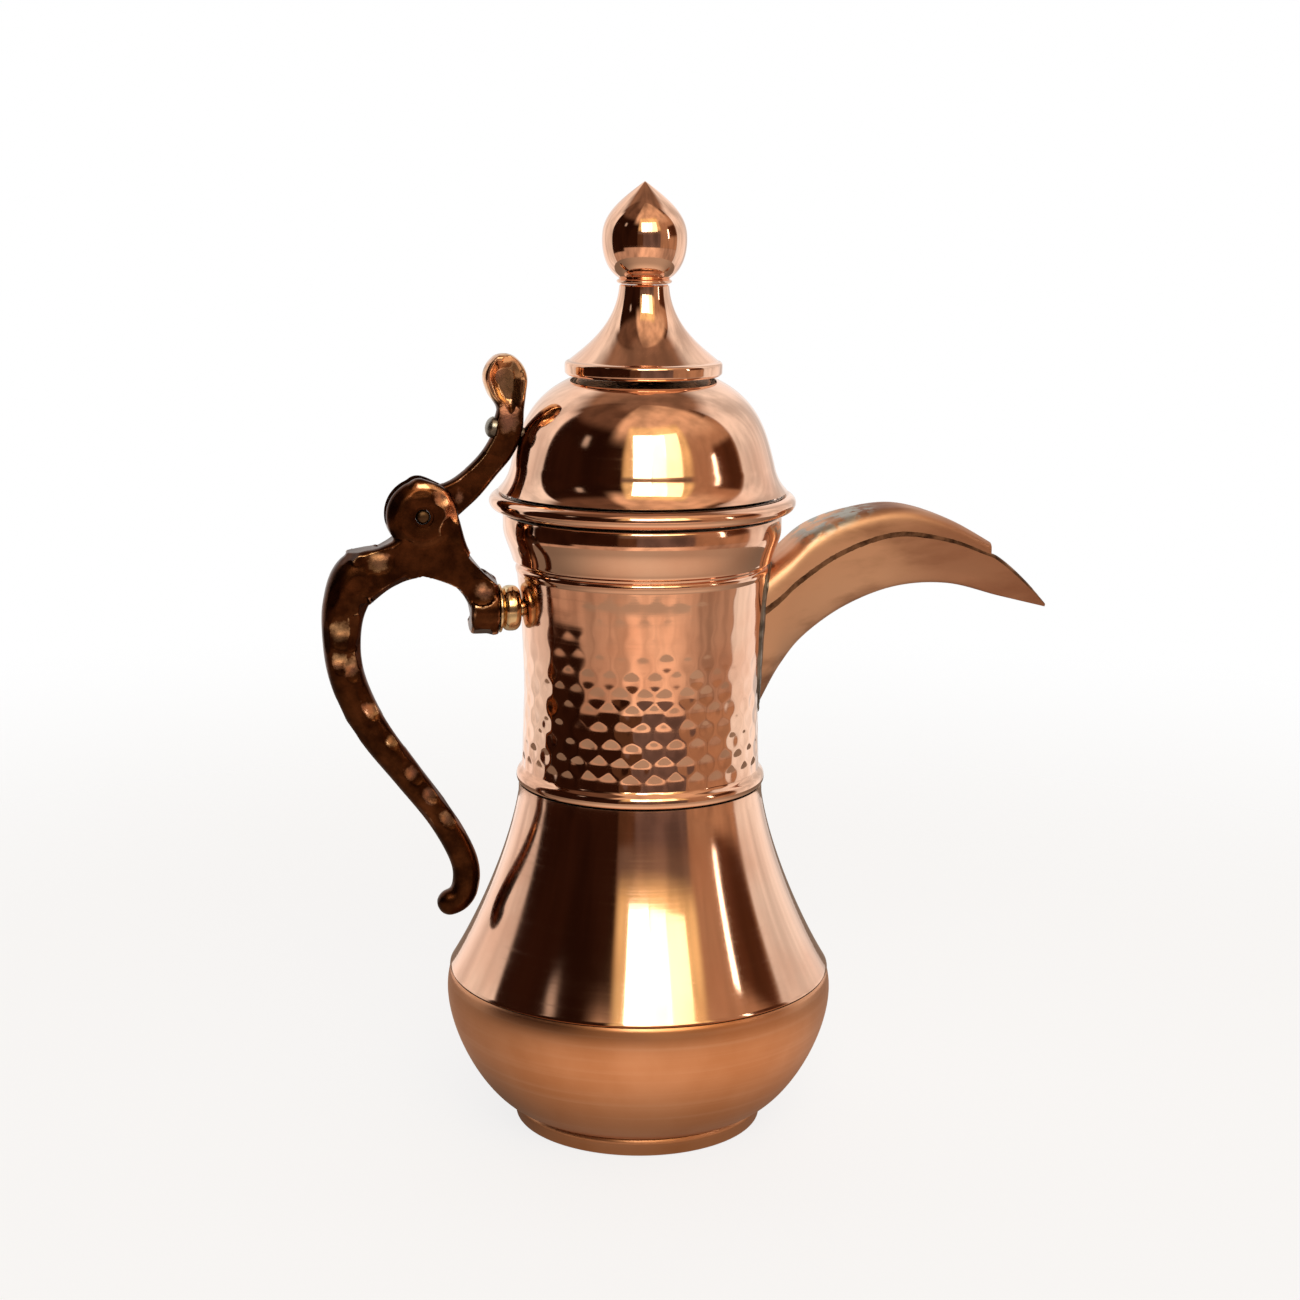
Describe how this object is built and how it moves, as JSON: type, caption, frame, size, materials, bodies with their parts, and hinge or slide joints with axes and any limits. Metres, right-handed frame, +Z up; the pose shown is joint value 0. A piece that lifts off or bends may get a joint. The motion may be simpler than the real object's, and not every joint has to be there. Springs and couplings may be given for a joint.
{
  "type": "dallah coffee pot",
  "caption": "Copper coffee pot with a hammered neck, crescent spout, cast bronze handle and a domed lid with a finial that swings open on a clevis hinge.",
  "frame": {"origin": "centre of the flat underside", "axes": "+Z up through the finial, +X towards the spout, -X towards the handle, hinge axis along Y"},
  "size_m": [0.2241, 0.1178, 0.285],
  "materials": {
    "polished_copper": "mirror polished copper",
    "satin_copper": "satin copper with faint smudges",
    "cast_bronze": "dark patinated cast bronze, worn bright on edges",
    "brass": "polished brass",
    "tin": "dull tinned surface or solder"
  },
  "bodies": {
    "pot": {"bottom_pan": "tin", "foot_ring": "satin_copper", "bowl_shell": "satin_copper", "cone_shell": "polished_copper", "neck_shell": "polished_copper", "spout_trough": "satin_copper", "spout_cover": "satin_copper", "spout_solder": "tin", "handle": "cast_bronze", "handle_stud": "brass", "handle_spacer": "brass", "handle_washer": "tin", "backing_washer": "tin", "handle_nut": "brass", "hinge_pin": "cast_bronze"},
    "lid": {"lid_dome": "polished_copper", "lid_rim": "polished_copper", "lid_sleeve": "tin", "lid_steeple": "polished_copper", "lid_finial": "polished_copper", "finial_stud": "brass", "finial_nut": "brass", "lid_lever": "cast_bronze", "lever_rivet": "tin", "rivet_burr": "tin"}
  },
  "joints": [
    {"name": "lid_hinge", "type": "hinge", "parent": "pot", "child": "lid", "pos_m": [-0.066, 0, 0.189], "axis": [0, -1, 0], "range_deg": [0, 105]}
  ]
}
